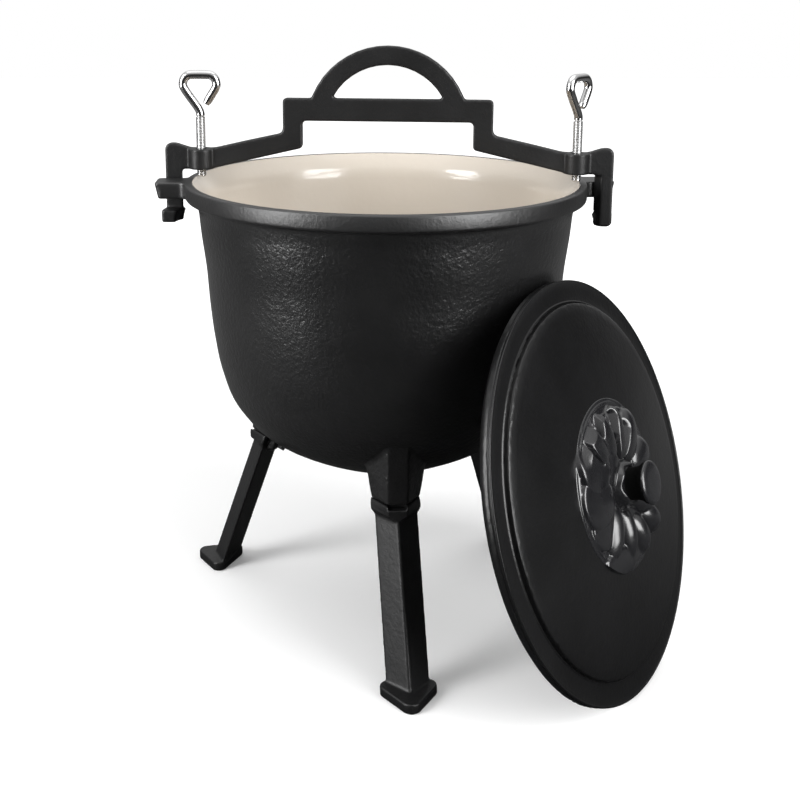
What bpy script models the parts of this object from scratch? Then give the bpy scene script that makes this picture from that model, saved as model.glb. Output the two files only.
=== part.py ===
"""Enamelled cast iron camp pot on three legs, with a clamp bar over its mouth and its lid leaning on it.

Metres, +Z up. The origin is on the floor under the middle of the pot, and the lugs lie along X.
"""

import math

import bmesh
import bpy
from mathutils import Matrix, Vector

# Pot: rim, wall and bottom.
RIM_TOP = 0.3737
RIM_RADIUS = 0.165
RIM_INNER_RADIUS = 0.1586
RIM_BAND_HEIGHT = 0.0136
WALL_THICKNESS = 0.005
WALL_TOP = 0.3617
WALL_BOTTOM = 0.1285
BOTTOM_LOW = 0.1270
# Outer radii of the wall at equal steps of height from its top to its bottom.
WALL_RADII = (0.1550, 0.1525, 0.1488, 0.1466, 0.1433, 0.1377, 0.1260, 0.0972, 0.0342)
POT_STEPS = 56

# Lugs under which the clamp bar hooks.
LUG_END = 0.1893
LUG_HALF_WIDTH = 0.0140
LUG_HEIGHT = 0.0140
LUG_FILLET = 0.0060
LUG_DRAFT = 0.0025

# Legs: three, bolted to bosses cast under the bowl. The front one leans a little sideways on its bolt.
LEG_AZIMUTHS = {"front": 1.6, "left": -115.6, "right": 127.0}
LEG_LEAN = {"front": 0.048, "left": 0.0, "right": 0.0}
LEG_BACK_AT_FLOOR = 0.1555
LEG_SPLAY = 0.362
LEG_HALF_WIDTH = 0.0168
LEG_RIDGE = 0.0180
LEG_EDGE = 0.0020
COLLAR_LOW = 0.1270
COLLAR_TOP = 0.1390
COLLAR_HALF_WIDTH = 0.0197
COLLAR_FACE = 0.1275
NOTCH_HALF_WIDTH = 0.0072
NOTCH_DEPTH = 0.0028
FOOT_THICKNESS = 0.0085
FOOT_BACK = 0.1514
FOOT_CORNER_OUT = 0.0070
FOOT_HALF_WIDTH = 0.0221
FOOT_CORNER = 0.0070
FOOT_TOE_OUT = 0.0355
FOOT_TOE = 0.0080

# Bosses: a vertical wedge with a flat outer face, and a tab behind the leg that takes the bolt.
BOSS_FACE = 0.1250
BOSS_FACE_HALF_WIDTH = 0.0080
BOSS_SIDE = 0.1085
BOSS_BACK = 0.0950
TAB_LOW = 0.1210
TAB_HALF_WIDTH = 0.0120
TAB_THICKNESS = 0.0080

# Leg bolts, M8 hexagon.
BOLT_HEIGHT = 0.1310
BOLT_RADIUS = 0.0040
BOLT_HEAD_ACROSS_FLATS = 0.0130
BOLT_HEAD_HEIGHT = 0.0053
BOLT_REACH = 0.0115

# Clamp bar: heights are above the rim's top, and distances along the bar are from its middle.
BAR_ANGLE = -6.4
BAR_SHIFT = 0.0012
BAR_THICKNESS = 0.0080
BAR_EDGE = 0.0010
ARCH_RADIUS = 0.0674
ARCH_CENTRE = 0.0421
ARCH_INNER_RADIUS = 0.0514
ARCH_INNER_CENTRE = 0.0424
BEAM_TOP = 0.0664
BEAM_BOTTOM = 0.0477
STEP_OUTER = 0.0864
STEP_INNER = 0.0703
ARM_TOP_INNER = 0.0376
ARM_LOW_INNER = 0.0252
ARM_TOP_SCREW = 0.0244
ARM_LOW_SCREW = 0.0065
PLATE_TOP = 0.0282
PLATE_INNER = 0.1705
PLATE_OUTER = 0.1852
PLATE_LOW = -0.0368
PLATE_CHAMFER = 0.0050
HOOK_HEIGHT = 0.0105
HOOK_REACH = 0.0130
HOOK_ROOT_INNER = 0.1690
HOOK_TIP_INNER = 0.1735
HOOK_OUTER = 0.1867
SCREW_AT = 0.1553
SCREW_BOSS_RADIUS = 0.0107

# Eye screws, M8, each a rod threaded below and bent to an eye above.
SCREW_RADIUS = 0.0040
SCREW_STEPS = 24
SCREW_NECK = 0.0500
EYE_ROD_RADIUS = 0.00355
EYE_TURN = {"left": 4.0, "right": 53.0}
# Middle line of the bent rod in its own plane: along, and above the rim's top.
EYE_PATH = (
    (0.0, 0.0503),
    (0.0, 0.0530),
    (-0.0012, 0.0562),
    (-0.0040, 0.0605),
    (-0.0088, 0.0672),
    (-0.0127, 0.0732),
    (-0.0138, 0.0768),
    (-0.0129, 0.0806),
    (-0.0104, 0.0834),
    (-0.0066, 0.0845),
    (0.0066, 0.0845),
    (0.0104, 0.0834),
    (0.0129, 0.0806),
    (0.0138, 0.0768),
    (0.0127, 0.0732),
    (0.0092, 0.0675),
    (0.0048, 0.0606),
)

# Lid: heights are above the plane of its brim.
LID_RADIUS = 0.1600
LID_STEPS = 54
LID_EDGE = 0.0078
LID_BRIM_INNER = 0.1462
LID_GROOVE_INNER = 0.1432
LID_GROOVE_DEPTH = 0.0016
LID_DOME_EDGE = 0.1415
LID_DOME_EDGE_HEIGHT = 0.0014
LID_DOME_TOP = 0.0182
LID_DOME_SPHERE = 0.5970
LID_THICKNESS = 0.0050
LID_RIB_RADIUS = 0.1560
LID_RIB_DROP = 0.0025
ROSETTE_RADIUS = 0.0660
ROSETTE_LOBES = 9
ROSETTE_INNER = 0.0225
SPOOL_CAP_RADIUS = 0.0165
SPOOL_WAIST_RADIUS = 0.0125
SPOOL_TOP = 0.0455
LID_CENTRE = (0.1571, -0.1308, 0.1557)
LID_AZIMUTH = 54.15
LID_TILT = 16.84

GAP = 0.0003

PARTS = bpy.data.collections.new("camp_pot")
CUTTERS = bpy.data.collections.new("cutters")


def clear_scene():
    for obj in list(bpy.data.objects):
        bpy.data.objects.remove(obj, do_unlink=True)
    for group in (PARTS, CUTTERS):
        bpy.context.scene.collection.children.link(group)


def make_material(name, colour, roughness, metallic):
    material = bpy.data.materials.new(name)
    material.use_nodes = True
    shader = material.node_tree.nodes["Principled BSDF"]
    shader.inputs["Base Color"].default_value = (*colour, 1.0)
    shader.inputs["Roughness"].default_value = roughness
    shader.inputs["Metallic"].default_value = metallic
    material.diffuse_color = (*colour, 1.0)
    return material


def place(obj, group=PARTS):
    for old in list(obj.users_collection):
        old.objects.unlink(obj)
    group.objects.link(obj)
    obj.hide_render = group is CUTTERS
    obj.display_type = "WIRE" if group is CUTTERS else "TEXTURED"
    return obj


def object_from_bmesh(name, shape, group=CUTTERS):
    bmesh.ops.recalc_face_normals(shape, faces=shape.faces)
    mesh = bpy.data.meshes.new(name)
    shape.to_mesh(mesh)
    shape.free()
    return place(bpy.data.objects.new(name, mesh), group)


def baked(obj):
    """The object with its modifiers or its curve turned into a plain welded mesh in place."""
    bpy.context.view_layer.update()
    graph = bpy.context.evaluated_depsgraph_get()
    mesh = bpy.data.meshes.new_from_object(obj.evaluated_get(graph))
    shape = bmesh.new()
    shape.from_mesh(mesh)
    bmesh.ops.remove_doubles(shape, verts=shape.verts, dist=0.00001)
    bmesh.ops.recalc_face_normals(shape, faces=shape.faces)
    shape.to_mesh(mesh)
    shape.free()
    made = bpy.data.objects.new(obj.name + "_solid", mesh)
    made.matrix_world = obj.matrix_world.copy()
    groups = list(obj.users_collection)
    name = obj.name
    bpy.data.objects.remove(obj, do_unlink=True)
    made.name = name
    place(made, groups[0])
    return made


def revolved(name, profile, steps, group=CUTTERS):
    """A turned solid from (radius, height) points that run down its outer side."""
    mesh = bpy.data.meshes.new(name)
    points = [(radius, 0.0, height) for radius, height in profile]
    mesh.from_pydata(points, [(i, i + 1) for i in range(len(points) - 1)], [])
    obj = place(bpy.data.objects.new(name, mesh), group)
    turn = obj.modifiers.new("turn", "SCREW")
    turn.axis = "Z"
    turn.angle = math.tau
    turn.steps = steps
    turn.render_steps = steps
    turn.use_merge_vertices = True
    turn.merge_threshold = 0.00005
    return baked(obj)


def outline_solid(name, loops, half_thickness, edge=0.0, group=CUTTERS):
    """A plate from closed outlines in XY, the first the outside and the others its holes."""
    curve = bpy.data.curves.new(name, "CURVE")
    curve.dimensions = "2D"
    curve.fill_mode = "BOTH"
    curve.extrude = half_thickness - edge
    if edge:
        curve.bevel_depth = edge
        curve.bevel_resolution = 1
        curve.offset = -edge
    for loop in loops:
        spline = curve.splines.new("POLY")
        spline.points.add(len(loop) - 1)
        spline.use_cyclic_u = True
        for point, (x, y) in zip(spline.points, loop):
            point.co = (x, y, 0.0, 1.0)
    return baked(place(bpy.data.objects.new(name, curve), group))


def lofted(name, rings, group=CUTTERS):
    """A solid through rings of points that all have the same count."""
    shape = bmesh.new()
    rows = [[shape.verts.new(point) for point in ring] for ring in rings]
    for low, high in zip(rows, rows[1:]):
        for i in range(len(low)):
            j = (i + 1) % len(low)
            shape.faces.new((low[i], low[j], high[j], high[i]))
    shape.faces.new(rows[0])
    shape.faces.new(rows[-1])
    return object_from_bmesh(name, shape, group)


def cylinder(name, radius, low, high, steps=24, group=CUTTERS):
    shape = bmesh.new()
    bmesh.ops.create_cone(
        shape,
        cap_ends=True,
        segments=steps,
        radius1=radius,
        radius2=radius,
        depth=high - low,
        matrix=Matrix.Translation((0.0, 0.0, (low + high) / 2)),
    )
    return object_from_bmesh(name, shape, group)


def boolean(obj, other, operation):
    step = obj.modifiers.new(other.name, "BOOLEAN")
    step.operation = operation
    step.object = other
    step.solver = "EXACT"


def join(obj, others):
    """The union of the object with the others, which are used up."""
    for other in others:
        boolean(obj, other, "UNION")
    obj = baked(obj)
    for other in others:
        bpy.data.objects.remove(other, do_unlink=True)
    return obj


def cut(obj, others):
    for other in others:
        boolean(obj, other, "DIFFERENCE")
    return baked(obj)


def bevel(obj, width, segments, angle):
    step = obj.modifiers.new("edges", "BEVEL")
    step.width = width
    step.segments = segments
    step.limit_method = "ANGLE"
    step.angle_limit = math.radians(angle)
    return baked(obj)


def finish(obj, name, material, sharp=35.0):
    obj.name = name
    obj.data.name = name
    obj.data.materials.clear()
    obj.data.materials.append(material)
    obj.data.shade_smooth()
    obj.data.set_sharp_from_angle(angle=math.radians(sharp))
    return place(obj)


def arc(centre, radius, start, end, count):
    """Points on an arc from one angle to another, in degrees."""
    points = []
    for i in range(count + 1):
        angle = math.radians(start + (end - start) * i / count)
        points.append((centre[0] + radius * math.cos(angle), centre[1] + radius * math.sin(angle)))
    return points


def rounded(corners, count=3):
    """An outline through (x, y, radius) corners, each with a radius turned into an arc."""
    outline = []
    for i, (x, y, radius) in enumerate(corners):
        here = Vector((x, y))
        if not radius:
            outline.append((x, y))
            continue
        before = (Vector(corners[i - 1][:2]) - here).normalized()
        after = (Vector(corners[(i + 1) % len(corners)][:2]) - here).normalized()
        half = before.angle(after) / 2
        reach = radius / math.tan(half)
        centre = here + (before + after).normalized() * radius / math.sin(half)
        first = here + before * reach - centre
        last = here + after * reach - centre
        turn = first.angle_signed(last)
        for step in range(count + 1):
            spoke = first.copy()
            spoke.rotate(Matrix.Rotation(-turn * step / count, 2))
            outline.append(tuple(centre + spoke))
    return outline


def smooth_path(knots, divisions):
    """A soft curve through the knots, each span divided as stated."""
    ends = [2 * Vector(knots[0]) - Vector(knots[1])]
    ends += [Vector(knot) for knot in knots]
    ends.append(Vector((-knots[-2][0], knots[-2][1])))
    path = [tuple(ends[1])]
    for i, count in enumerate(divisions):
        a, b, c, d = ends[i : i + 4]
        for step in range(1, count + 1):
            t = step / count
            point = 2 * b + (c - a) * t
            point += (2 * a - 5 * b + 4 * c - d) * t**2
            point += (3 * b - a - 3 * c + d) * t**3
            path.append(tuple(point / 2))
    return path


def wall_knots():
    drop = (WALL_TOP - WALL_BOTTOM) / (len(WALL_RADII) - 1)
    knots = [(radius, WALL_TOP - drop * i) for i, radius in enumerate(WALL_RADII)]
    return knots + [(0.0, BOTTOM_LOW)]


def outer_profile():
    """The rim band, the fillet under it and the wall, from the middle of the mouth down and in."""
    low = RIM_TOP - RIM_BAND_HEIGHT
    rim = [
        (0.0, RIM_TOP),
        (RIM_RADIUS - 0.0014, RIM_TOP),
        (RIM_RADIUS - 0.0004, RIM_TOP - 0.0004),
        (RIM_RADIUS, RIM_TOP - 0.0014),
        (RIM_RADIUS, low + 0.0038),
        (RIM_RADIUS - 0.0011, low + 0.0012),
        (RIM_RADIUS - 0.0036, low),
        (RIM_RADIUS - 0.0066, low - 0.0005),
        (RIM_RADIUS - 0.0088, low - 0.0019),
        (RIM_RADIUS - 0.0099, low - 0.0044),
    ]
    wall = smooth_path(wall_knots(), (1, 1, 1, 1, 2, 2, 3, 4, 2))
    return rim + wall[1:-1] + [(0.0, BOTTOM_LOW)]


def inner_profile():
    """The cavity, the wall's thickness inside the outer profile, with a flare up to the rim."""
    wall = smooth_path(wall_knots(), (1, 1, 1, 1, 2, 2, 3, 4, 2))
    profile = [
        (0.0, RIM_TOP + 0.0050),
        (RIM_INNER_RADIUS, RIM_TOP + 0.0050),
        (RIM_INNER_RADIUS, RIM_TOP - 0.0006),
        (RIM_INNER_RADIUS - 0.0009, RIM_TOP - 0.0016),
        (RIM_INNER_RADIUS - 0.0050, RIM_TOP - 0.0080),
        (RIM_INNER_RADIUS - 0.0080, RIM_TOP - 0.0140),
    ]
    for i in range(1, len(wall) - 1):
        run = Vector(wall[i + 1]) - Vector(wall[i - 1])
        inward = Vector((run.y, -run.x)).normalized()
        point = Vector(wall[i]) + inward * WALL_THICKNESS
        if point.x > 0.004:
            profile.append(tuple(point))
    return profile + [(0.0, BOTTOM_LOW + WALL_THICKNESS)]


def lug(side):
    """A block that stands out from the rim, filleted into it, its end drawn in slightly lower down."""
    reach = RIM_RADIUS + LUG_FILLET
    across = LUG_HALF_WIDTH + LUG_FILLET
    centre_x = math.sqrt(reach**2 - across**2)
    foot = math.degrees(math.atan2(across, centre_x))
    inner = RIM_RADIUS - 0.0040
    half = [
        (inner * math.cos(math.radians(foot)), inner * math.sin(math.radians(foot))),
        *arc((centre_x, across), LUG_FILLET, 180.0 + foot, 270.0, 4),
    ]
    corner = arc((LUG_END - 0.0035, LUG_HALF_WIDTH - 0.0035), 0.0035, 90.0, 0.0, 3)
    upper = half + corner
    outline = upper + [(x, -y) for x, y in reversed(upper)]
    block = outline_solid("lug_" + side, [outline], LUG_HEIGHT / 2 - GAP / 2, 0.0012)
    for vertex in block.data.vertices:
        share = max(0.0, (vertex.co.x - RIM_RADIUS) / (LUG_END - RIM_RADIUS))
        if vertex.co.z < 0.0:
            vertex.co.x -= LUG_DRAFT * share
    turn = Matrix.Rotation(math.pi if side == "left" else 0.0, 4, "Z")
    shift = Matrix.Translation((0.0, 0.0, RIM_TOP - GAP - (LUG_HEIGHT - GAP) / 2))
    block.data.transform(turn @ shift)
    return block


def leg_back(height):
    """How far out the flat back of a leg is at a height."""
    return LEG_BACK_AT_FLOOR - LEG_SPLAY * height


def boss(side, azimuth):
    """The wedge under the bowl that a leg butts against, and the tab behind the leg."""
    rings = []
    for height, half, grow in (
        (COLLAR_TOP + GAP, 0.0190, 0.0),
        (0.1500, 0.0208, 0.0003),
        (0.1640, 0.0228, 0.0008),
        (0.1960, 0.0250, 0.0016),
    ):
        right = [
            (TAB_HALF_WIDTH, -BOSS_BACK),
            (half, -BOSS_BACK - 0.0070),
            (half, -BOSS_SIDE),
            (BOSS_FACE_HALF_WIDTH, -BOSS_FACE - grow),
        ]
        outline = right + [(-x, y) for x, y in reversed(right)]
        rings.append([(x, y, height) for x, y in outline])
    wedge = lofted("boss_" + side, rings)
    rings = []
    for height, half in ((TAB_LOW, 0.0085), (TAB_LOW + 0.0030, TAB_HALF_WIDTH), (0.1500, TAB_HALF_WIDTH)):
        front = -leg_back(height) + GAP + 0.00005
        back = front + TAB_THICKNESS
        rings.append([(-half, back, height), (-half, front, height), (half, front, height), (half, back, height)])
    tab = lofted("tab_" + side, rings)
    made = join(wedge, [tab])
    made.data.transform(Matrix.Rotation(math.radians(azimuth), 4, "Z"))
    return made


def bolt_frame(azimuth):
    """Where a bolt crosses the leg's back, with +Z along the bolt, out and up."""
    lean = math.atan(LEG_SPLAY)
    spot = Matrix.Translation((0.0, -leg_back(BOLT_HEIGHT), BOLT_HEIGHT))
    tip = Matrix.Rotation(math.pi / 2 - lean, 4, "X")
    return Matrix.Rotation(math.radians(azimuth), 4, "Z") @ spot @ tip


def bolt_hole(side, azimuth, low, high):
    hole = cylinder("bolt_hole_" + side, BOLT_RADIUS + GAP, low, high, 20)
    hole.matrix_world = bolt_frame(azimuth)
    return hole


def pot_body(iron):
    body = revolved("pot_body", outer_profile(), POT_STEPS)
    extras = [lug("left"), lug("right")]
    extras += [boss(side, azimuth) for side, azimuth in LEG_AZIMUTHS.items()]
    body = join(body, extras)
    cavity = revolved("cavity", inner_profile(), POT_STEPS)
    holes = [bolt_hole("pot_" + side, azimuth, -0.0200, 0.0) for side, azimuth in LEG_AZIMUTHS.items()]
    body = cut(body, [cavity, *holes])
    return finish(body, "pot_body", iron, 30.0)


def foot_outline():
    """A shield: straight back edge, round corners, sides that run in to a round toe. Outward is -Y."""
    corner = (FOOT_HALF_WIDTH - FOOT_CORNER, -FOOT_BACK - FOOT_CORNER_OUT)
    toe = (0.0, -FOOT_BACK - FOOT_TOE_OUT + FOOT_TOE)
    run = Vector(toe) - Vector(corner)
    lean = math.degrees(math.asin((FOOT_CORNER - FOOT_TOE) / run.length) + math.atan2(run.y, run.x)) + 90.0
    right = arc(corner, FOOT_CORNER, 90.0, lean, 5) + arc(toe, FOOT_TOE, lean, -90.0, 4)
    return right + [(-x, y) for x, y in reversed(right[:-1])]


def leg(side, azimuth, iron):
    """A splayed bar with a ridge down its outer side, a collar at its top and a flat foot."""
    rings = []
    for height, half, face, flat in (
        (FOOT_THICKNESS / 2, LEG_HALF_WIDTH, None, 0.0008),
        (COLLAR_LOW, LEG_HALF_WIDTH, None, 0.0008),
        (COLLAR_LOW + 0.0040, COLLAR_HALF_WIDTH, COLLAR_FACE, 0.0074),
        (COLLAR_TOP - 0.0030, COLLAR_HALF_WIDTH, COLLAR_FACE + 0.0004, 0.0076),
        (COLLAR_TOP, COLLAR_HALF_WIDTH - 0.0006, COLLAR_FACE, 0.0076),
    ):
        back = leg_back(height)
        front = face or back + LEG_RIDGE
        right = [(half, -back), (half, -back - LEG_EDGE), (flat, -front)]
        outline = right + [(-x, y) for x, y in reversed(right)]
        rings.append([(x, y, height) for x, y in outline])
    bar = bevel(lofted("leg_bar_" + side, rings), 0.0008, 1, 25.0)
    pad = outline_solid("leg_pad_" + side, [foot_outline()], FOOT_THICKNESS / 2, 0.0010)
    pad.data.transform(Matrix.Translation((0.0, 0.0, FOOT_THICKNESS / 2)))
    made = join(bar, [pad])
    for vertex in made.data.vertices:
        vertex.co.x += LEG_LEAN[side] * (BOLT_HEIGHT - vertex.co.z)
    notch = bmesh.new()
    bmesh.ops.create_cube(notch, size=1.0)
    size = (2 * NOTCH_HALF_WIDTH, 0.0200, 2 * NOTCH_DEPTH)
    bmesh.ops.scale(notch, vec=size, verts=notch.verts)
    bmesh.ops.translate(notch, vec=(0.0, -BOSS_FACE - 0.0050, COLLAR_TOP), verts=notch.verts)
    notch = object_from_bmesh("leg_notch_" + side, notch)
    hole = bolt_hole("leg_" + side, 0.0, -0.0050, BOLT_REACH + 0.0005)
    made = cut(made, [notch, hole])
    made.rotation_euler = (0.0, 0.0, math.radians(azimuth))
    return finish(made, "leg_" + side, iron, 30.0)


def leg_bolt(side, azimuth, steel):
    """A hexagon bolt, its head against the tab and its shank in the leg."""
    seat = -(TAB_THICKNESS + GAP + 0.00005) * math.cos(math.atan(LEG_SPLAY)) - GAP
    across = BOLT_HEAD_ACROSS_FLATS / math.sqrt(3.0)
    head = cylinder("head_" + side, across, seat - BOLT_HEAD_HEIGHT, seat, 6)
    shank = cylinder("shank_" + side, BOLT_RADIUS, seat - 0.0010, BOLT_REACH, 20)
    made = join(head, [shank])
    made.matrix_world = bolt_frame(azimuth)
    return finish(made, "leg_bolt_" + side, steel, 30.0)


def bar_half():
    """The right half of the bar's outline, from the arch's top outwards and back under the beam."""
    start = math.degrees(math.asin((BEAM_TOP + 0.0026 - ARCH_CENTRE) / ARCH_RADIUS))
    dome = [(x, y, 0.0) for x, y in arc((0.0, ARCH_CENTRE), ARCH_RADIUS, 90.0, start, 9)]
    foot = dome[-1][0]
    return dome + [
        (foot + 0.0012, BEAM_TOP, 0.0),
        (STEP_OUTER, BEAM_TOP, 0.0030),
        (STEP_OUTER, ARM_TOP_INNER, 0.0050),
        (0.1180, 0.0306, 0.0300),
        (SCREW_AT - 0.0110, ARM_TOP_SCREW, 0.0300),
        (SCREW_AT + 0.0090, ARM_TOP_SCREW, 0.0150),
        (PLATE_OUTER - 0.0090, PLATE_TOP, 0.0150),
        (PLATE_OUTER, PLATE_TOP, 0.0050),
        (PLATE_OUTER, PLATE_LOW, 0.0040),
        (PLATE_INNER, PLATE_LOW, 0.0025),
        (PLATE_INNER, ARM_LOW_SCREW, 0.0015),
        (SCREW_AT - 0.0060, ARM_LOW_SCREW, 0.0200),
        (STEP_INNER, ARM_LOW_INNER, 0.0030),
        (STEP_INNER, BEAM_BOTTOM, 0.0030),
    ]


def bar_end(side, half_turn):
    """The hook under a lug and the boss for a screw, modelled at +X with the lug beyond +Y."""
    face = BAR_THICKNESS / 2
    hook = outline_solid(
        "hook_" + side,
        [
            rounded(
                [
                    (HOOK_ROOT_INNER, 0.0, 0.0),
                    (HOOK_OUTER - 0.0020, 0.0, 0.0),
                    (HOOK_OUTER, face + 0.0030, 0.0),
                    (HOOK_OUTER, face + HOOK_REACH, 0.0020),
                    (HOOK_TIP_INNER, face + HOOK_REACH, 0.0020),
                ]
            )
        ],
        HOOK_HEIGHT / 2,
        0.0010,
    )
    for vertex in hook.data.vertices:
        if vertex.co.z < -0.0020 and vertex.co.x < HOOK_TIP_INNER + 0.0010:
            vertex.co.x += 0.0025
    hook.data.transform(Matrix.Translation((0.0, 0.0, RIM_TOP + PLATE_LOW + HOOK_HEIGHT / 2 + 0.0002)))
    low = RIM_TOP + ARM_LOW_SCREW + 0.0002
    boss_post = cylinder("screw_boss_" + side, SCREW_BOSS_RADIUS, low, RIM_TOP + ARM_TOP_SCREW - 0.0006, 32)
    boss_post.data.transform(Matrix.Translation((SCREW_AT, 0.0, 0.0)))
    hole = cylinder("screw_hole_" + side, SCREW_RADIUS + GAP, RIM_TOP - 0.0100, RIM_TOP + 0.0500, 24)
    hole.data.transform(Matrix.Translation((SCREW_AT, 0.0, 0.0)))
    wedge = [
        (PLATE_INNER - 0.0040, -face - 0.0010),
        (PLATE_INNER + PLATE_CHAMFER + 0.0008, -face - 0.0010),
        (PLATE_INNER - 0.0004, face - 0.0006),
        (PLATE_INNER - 0.0040, face - 0.0006),
    ]
    high = ARM_LOW_SCREW - 0.0006
    chamfer = outline_solid("chamfer_" + side, [wedge], (high - PLATE_LOW + 0.0040) / 2)
    middle = RIM_TOP + (high + PLATE_LOW - 0.0040) / 2
    chamfer.data.transform(Matrix.Translation((0.0, 0.0, middle)))
    for solid in (hook, boss_post, hole, chamfer):
        if half_turn:
            solid.data.transform(Matrix.Rotation(math.pi, 4, "Z"))
    return hook, boss_post, hole, chamfer


def clamp_bar(iron, axis):
    """A flat bar with an arched handle, a screw boss and a hooked plate at each end."""
    half = bar_half()
    outer = rounded(half + [(-x, y, r) for x, y, r in reversed(half[1:])])
    start = math.degrees(math.asin((BEAM_TOP - ARCH_INNER_CENTRE) / ARCH_INNER_RADIUS))
    arch = arc((0.0, ARCH_INNER_CENTRE), ARCH_INNER_RADIUS, start + 2.0, 178.0 - start, 14)
    low = BEAM_TOP + 0.0001
    inset = ARCH_INNER_RADIUS * math.cos(math.radians(start)) - 0.0025
    hole = arch + [(-inset, low), (inset, low)]
    plate = outline_solid("bar_plate", [outer, hole], BAR_THICKNESS / 2, BAR_EDGE)
    plate.data.transform(Matrix.Translation((0.0, 0.0, RIM_TOP)) @ Matrix.Rotation(math.pi / 2, 4, "X"))
    ends = [bar_end("right", False), bar_end("left", True)]
    plate = cut(plate, [end[3] for end in ends])
    plate = join(plate, [solid for end in ends for solid in end[:2]])
    plate = cut(plate, [end[2] for end in ends])
    plate.data.transform(Matrix.Translation((BAR_SHIFT, 0.0, 0.0)))
    plate.parent = axis
    return finish(plate, "clamp_bar", iron, 30.0)


def eye_screw(side, steel, axis):
    """The threaded rod and the eye above it, each turning or rising on the screw's own axis."""
    across = BAR_SHIFT + (-SCREW_AT if side == "left" else SCREW_AT)
    tip = RIM_TOP + GAP
    shank = revolved(
        "eye_screw_shank_" + side,
        [
            (0.0, RIM_TOP + SCREW_NECK),
            (EYE_ROD_RADIUS, RIM_TOP + SCREW_NECK),
            (SCREW_RADIUS, RIM_TOP + SCREW_NECK - 0.0010),
            (SCREW_RADIUS, tip + 0.0012),
            (SCREW_RADIUS - 0.0010, tip),
            (0.0, tip),
        ],
        SCREW_STEPS,
    )
    shank.parent = axis
    shank.location = (across, 0.0, 0.0)
    finish(shank, "eye_screw_shank_" + side, steel, 30.0)
    curve = bpy.data.curves.new("eye", "CURVE")
    curve.dimensions = "3D"
    curve.bevel_depth = EYE_ROD_RADIUS
    curve.bevel_resolution = 2
    curve.use_fill_caps = True
    spline = curve.splines.new("POLY")
    spline.points.add(len(EYE_PATH) - 1)
    for point, (along, above) in zip(spline.points, EYE_PATH):
        point.co = (along, 0.0, RIM_TOP + above, 1.0)
    eye = baked(place(bpy.data.objects.new("eye_screw_eye_" + side, curve)))
    eye.parent = axis
    eye.location = (across, 0.0, 0.0)
    eye.rotation_euler = (0.0, 0.0, math.radians(EYE_TURN[side]))
    finish(eye, "eye_screw_eye_" + side, steel, 50.0)


def dome_height(radius):
    return LID_DOME_TOP - radius**2 / (2 * LID_DOME_SPHERE)


def lid_profile():
    """Spool, rosette, dome, groove and brim down the outside, then back under to the middle."""
    spool = [
        (0.0, SPOOL_TOP + 0.0008),
        (SPOOL_CAP_RADIUS - 0.0030, SPOOL_TOP),
        (SPOOL_CAP_RADIUS - 0.0006, SPOOL_TOP - 0.0014),
        (SPOOL_CAP_RADIUS, SPOOL_TOP - 0.0032),
        (SPOOL_CAP_RADIUS - 0.0010, SPOOL_TOP - 0.0052),
        (SPOOL_WAIST_RADIUS + 0.0008, SPOOL_TOP - 0.0100),
        (SPOOL_WAIST_RADIUS, SPOOL_TOP - 0.0145),
        (SPOOL_WAIST_RADIUS + 0.0014, SPOOL_TOP - 0.0195),
        (ROSETTE_INNER - 0.0040, 0.0232),
    ]
    rosette = [
        (ROSETTE_INNER + 0.0030, 0.0240),
        (0.0340, 0.0278),
        (0.0430, 0.0302),
        (0.0520, 0.0292),
        (0.0590, 0.0252),
        (0.0640, 0.0196),
        (ROSETTE_RADIUS + 0.0004, dome_height(ROSETTE_RADIUS)),
    ]
    dome = [(r, dome_height(r)) for r in (0.0760, 0.0930, 0.1110, 0.1290)]
    brim = [
        (LID_DOME_EDGE, LID_DOME_EDGE_HEIGHT),
        (LID_GROOVE_INNER, -LID_GROOVE_DEPTH),
        (LID_BRIM_INNER - 0.0006, -LID_GROOVE_DEPTH),
        (LID_BRIM_INNER, 0.0),
        (LID_RADIUS - 0.0012, 0.0),
        (LID_RADIUS, -0.0012),
        (LID_RADIUS, 0.0004 - LID_EDGE),
        (LID_RADIUS - 0.0004, -LID_EDGE),
        (LID_RIB_RADIUS + 0.0004, -LID_EDGE),
        (LID_RIB_RADIUS - 0.0006, -LID_EDGE - LID_RIB_DROP),
        (LID_RIB_RADIUS - 0.0060, -LID_EDGE - LID_RIB_DROP),
        (LID_RIB_RADIUS - 0.0080, -LID_EDGE),
    ]
    under = [(r, dome_height(r) - LID_THICKNESS) for r in (0.1330, 0.1100, 0.0850, 0.0580, 0.0300)]
    return spool + rosette + dome + brim + under + [(0.0, LID_DOME_TOP - LID_THICKNESS)]


def lid(iron):
    """A domed casting with a rosette of lobes and a spool-shaped knob."""
    made = revolved("lid", lid_profile(), LID_STEPS)
    for vertex in made.data.vertices:
        radius = math.hypot(vertex.co.x, vertex.co.y)
        over = vertex.co.z - dome_height(radius)
        if over < 0.0006 or not ROSETTE_INNER < radius < ROSETTE_RADIUS + 0.0020:
            continue
        share = (radius - ROSETTE_INNER) / (ROSETTE_RADIUS - ROSETTE_INNER)
        wave = math.cos(ROSETTE_LOBES * math.atan2(vertex.co.y, vertex.co.x))
        grow = 1.0 + 0.035 * wave * share
        vertex.co.x *= grow
        vertex.co.y *= grow
        vertex.co.z += 0.0030 * wave * math.sin(math.pi * min(share, 1.0))
    lean = Matrix.Rotation(math.radians(90.0 - LID_TILT), 4, "X")
    turn = Matrix.Rotation(math.radians(LID_AZIMUTH), 4, "Z")
    made.matrix_world = Matrix.Translation(LID_CENTRE) @ turn @ lean
    return finish(made, "lid", iron, 30.0)


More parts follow.
